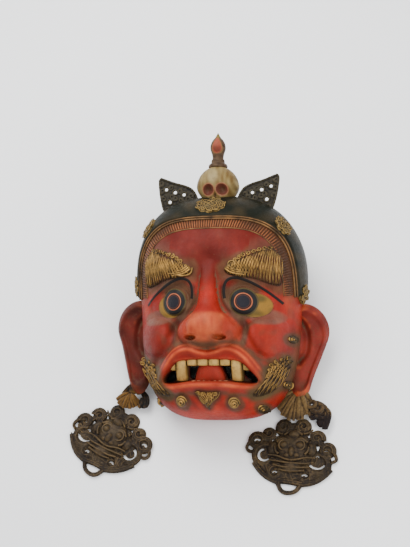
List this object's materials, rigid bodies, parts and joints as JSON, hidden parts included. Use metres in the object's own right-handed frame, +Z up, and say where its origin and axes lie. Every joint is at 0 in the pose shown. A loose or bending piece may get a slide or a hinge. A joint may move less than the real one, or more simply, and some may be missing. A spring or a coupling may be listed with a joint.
{
  "type": "tibetan cham mask",
  "caption": "Carved and painted ritual dance mask of a fanged wrathful deity, with skull crown and pierced metal ear pendants, lying face up",
  "frame": {"origin": "middle of the footprint, on the floor the back rim rests on", "axes": "+Z up out of the face, +Y towards the crown, +X towards the ear on the viewer's right"},
  "size_m": [0.4272, 0.5204, 0.218],
  "materials": {
    "mask_shell": "worn red paint over carved wood, with green band and gilt hair",
    "skull": "aged cream paint",
    "finial": "brown paint with a red flame panel",
    "crown_leaf_left": "dark patinated pierced metal",
    "crown_leaf_right": "dark patinated pierced metal",
    "pendant_left": "dark patinated pierced metal",
    "pendant_right": "dark patinated pierced metal",
    "tie_left": "dark brown brocade",
    "tie_right": "dull gold-brown silk",
    "band_ornament_middle": "worn gilt",
    "band_ornament_left": "worn gilt",
    "band_ornament_right": "worn gilt",
    "band_end_left": "worn gilt",
    "band_end_right": "worn gilt"
  },
  "bodies": {
    "root": {"mask_shell": "mask_shell", "skull": "skull", "finial": "finial", "crown_leaf_left": "crown_leaf_left", "crown_leaf_right": "crown_leaf_right", "pendant_left": "pendant_left", "pendant_right": "pendant_right", "tie_left": "tie_left", "tie_right": "tie_right", "band_ornament_middle": "band_ornament_middle", "band_ornament_left": "band_ornament_left", "band_ornament_right": "band_ornament_right", "band_end_left": "band_end_left", "band_end_right": "band_end_right"}
  },
  "joints": []
}
